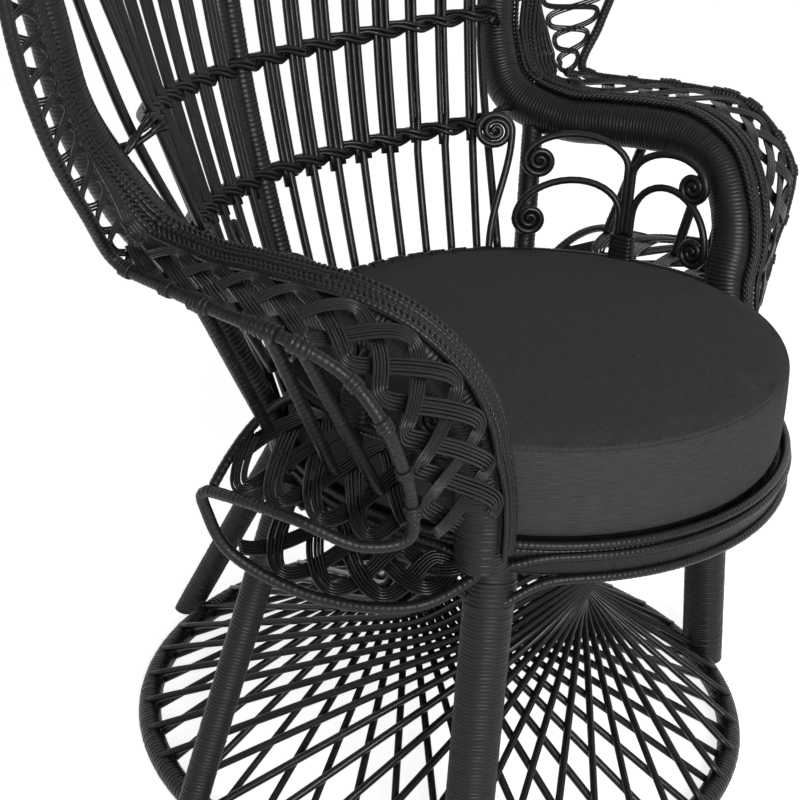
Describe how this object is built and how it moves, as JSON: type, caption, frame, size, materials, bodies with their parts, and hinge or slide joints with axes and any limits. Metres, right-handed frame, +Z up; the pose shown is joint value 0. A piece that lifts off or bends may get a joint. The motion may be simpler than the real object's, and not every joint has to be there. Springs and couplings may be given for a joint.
{
  "type": "peacock armchair",
  "caption": "Round-seated rattan armchair with a tall fan back inside a flared openwork border, curled arms, scrolled rods, an hourglass base of crossing rods and a loose cushion.",
  "frame": {"origin": "on the floor, under the middle of the chair's plan", "axes": "+Z up, the sitter faces -Y, the sitter's left hand is on +X"},
  "size_m": [1.0942, 0.7208, 1.497],
  "materials": {
    "rattan": "semi-matte black lacquer on wound and woven rattan",
    "canvas": "matte woven canvas"
  },
  "bodies": {
    "frame": {"seat_band": "rattan", "seat_deck": "rattan", "base_ring": "rattan", "leg_front_left": "rattan", "leg_front_right": "rattan", "leg_side_left": "rattan", "leg_side_right": "rattan", "leg_back": "rattan", "skirt_outer_1": "rattan", "skirt_inner_1": "rattan", "skirt_outer_2": "rattan", "skirt_inner_2": "rattan", "skirt_outer_3": "rattan", "skirt_inner_3": "rattan", "arm_roll_left": "rattan", "arm_roll_right": "rattan", "back_roll": "rattan", "arm_rim_left": "rattan", "arm_rim_right": "rattan", "back_rim": "rattan", "arm_braid_left": "rattan", "arm_braid_right": "rattan", "back_braid": "rattan", "back_flare": "rattan", "seat_hoop": "rattan", "scroll_tie_left": "rattan", "scroll_tie_right": "rattan", "arm_lower_rim_left": "rattan", "arm_lower_rim_right": "rattan", "arm_lower_flare_left": "rattan", "arm_lower_flare_right": "rattan", "arm_strut_1_left": "rattan", "arm_strut_1_right": "rattan", "arm_strut_2_left": "rattan", "arm_strut_2_right": "rattan", "arm_strut_3_left": "rattan", "arm_strut_3_right": "rattan", "arm_flare_left": "rattan", "arm_flare_right": "rattan", "arm_under_flare_left": "rattan", "arm_under_flare_right": "rattan", "back_post_left": "rattan", "back_post_right": "rattan", "back_stakes_left": "rattan", "back_stakes_right": "rattan", "back_spine": "rattan", "back_weave_1": "rattan", "back_weave_2": "rattan", "back_weave_3": "rattan", "back_weave_4": "rattan", "scroll_rear_left": "rattan", "scroll_rear_right": "rattan", "scroll_front_left": "rattan", "scroll_front_right": "rattan", "back_scroll_left": "rattan", "back_scroll_right": "rattan"},
    "cushion": {"cushion": "canvas"}
  },
  "joints": [
    {"name": "cushion_lift", "type": "slide", "parent": "frame", "child": "cushion", "axis": [0, 0, 1], "range_m": [0, 0.25]}
  ]
}
